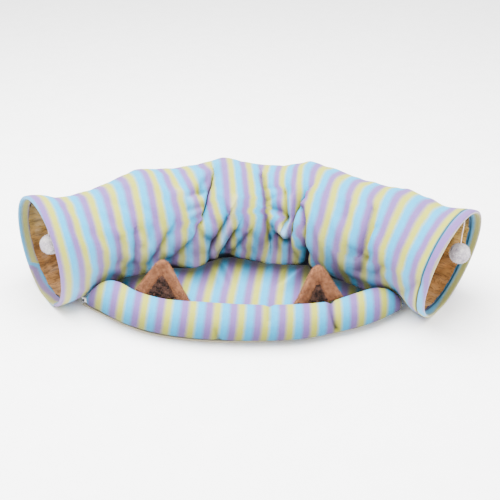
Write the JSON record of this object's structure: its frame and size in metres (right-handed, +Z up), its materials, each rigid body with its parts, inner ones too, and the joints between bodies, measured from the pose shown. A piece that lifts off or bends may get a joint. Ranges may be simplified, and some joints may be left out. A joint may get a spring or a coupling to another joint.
{
  "type": "cat tunnel",
  "caption": "Curved plush cat tunnel with open lined mouths, hanging plush balls, and a padded half-moon bed with a front roll and ears in its bend.",
  "frame": {"origin": "on the floor under the bed panel, between the roll and the tube", "axes": "+X from the left mouth to the right mouth, +Z up, -Y towards the front of the bed"},
  "size_m": [1.0355, 0.5124, 0.249],
  "materials": {
    "striped_plush": "short pile",
    "lining_cloth": "crinkled satin",
    "cord_yarn": "twisted yarn",
    "white_plush": "fuzzy pile",
    "panel_cloth": "plain woven",
    "tan_plush": "short pile",
    "dark_curly_plush": "curly pile",
    "zip_tape_cloth": "woven tape",
    "zip_plastic": "moulded",
    "zip_metal": "satin"
  },
  "bodies": {
    "root": {"tunnel_cover": "striped_plush", "tunnel_lining": "lining_cloth", "ball_cord_left": "cord_yarn", "ball_cord_right": "cord_yarn", "ball_left": "white_plush", "ball_right": "white_plush", "bed_panel": "panel_cloth", "bed_mat": "striped_plush", "front_roll": "striped_plush", "ear_left": "tan_plush", "ear_right": "tan_plush", "ear_panel_left": "dark_curly_plush", "ear_panel_right": "dark_curly_plush", "zip_tape": "zip_tape_cloth", "zip_stop": "zip_plastic", "zip_slider": "zip_metal"}
  },
  "joints": []
}
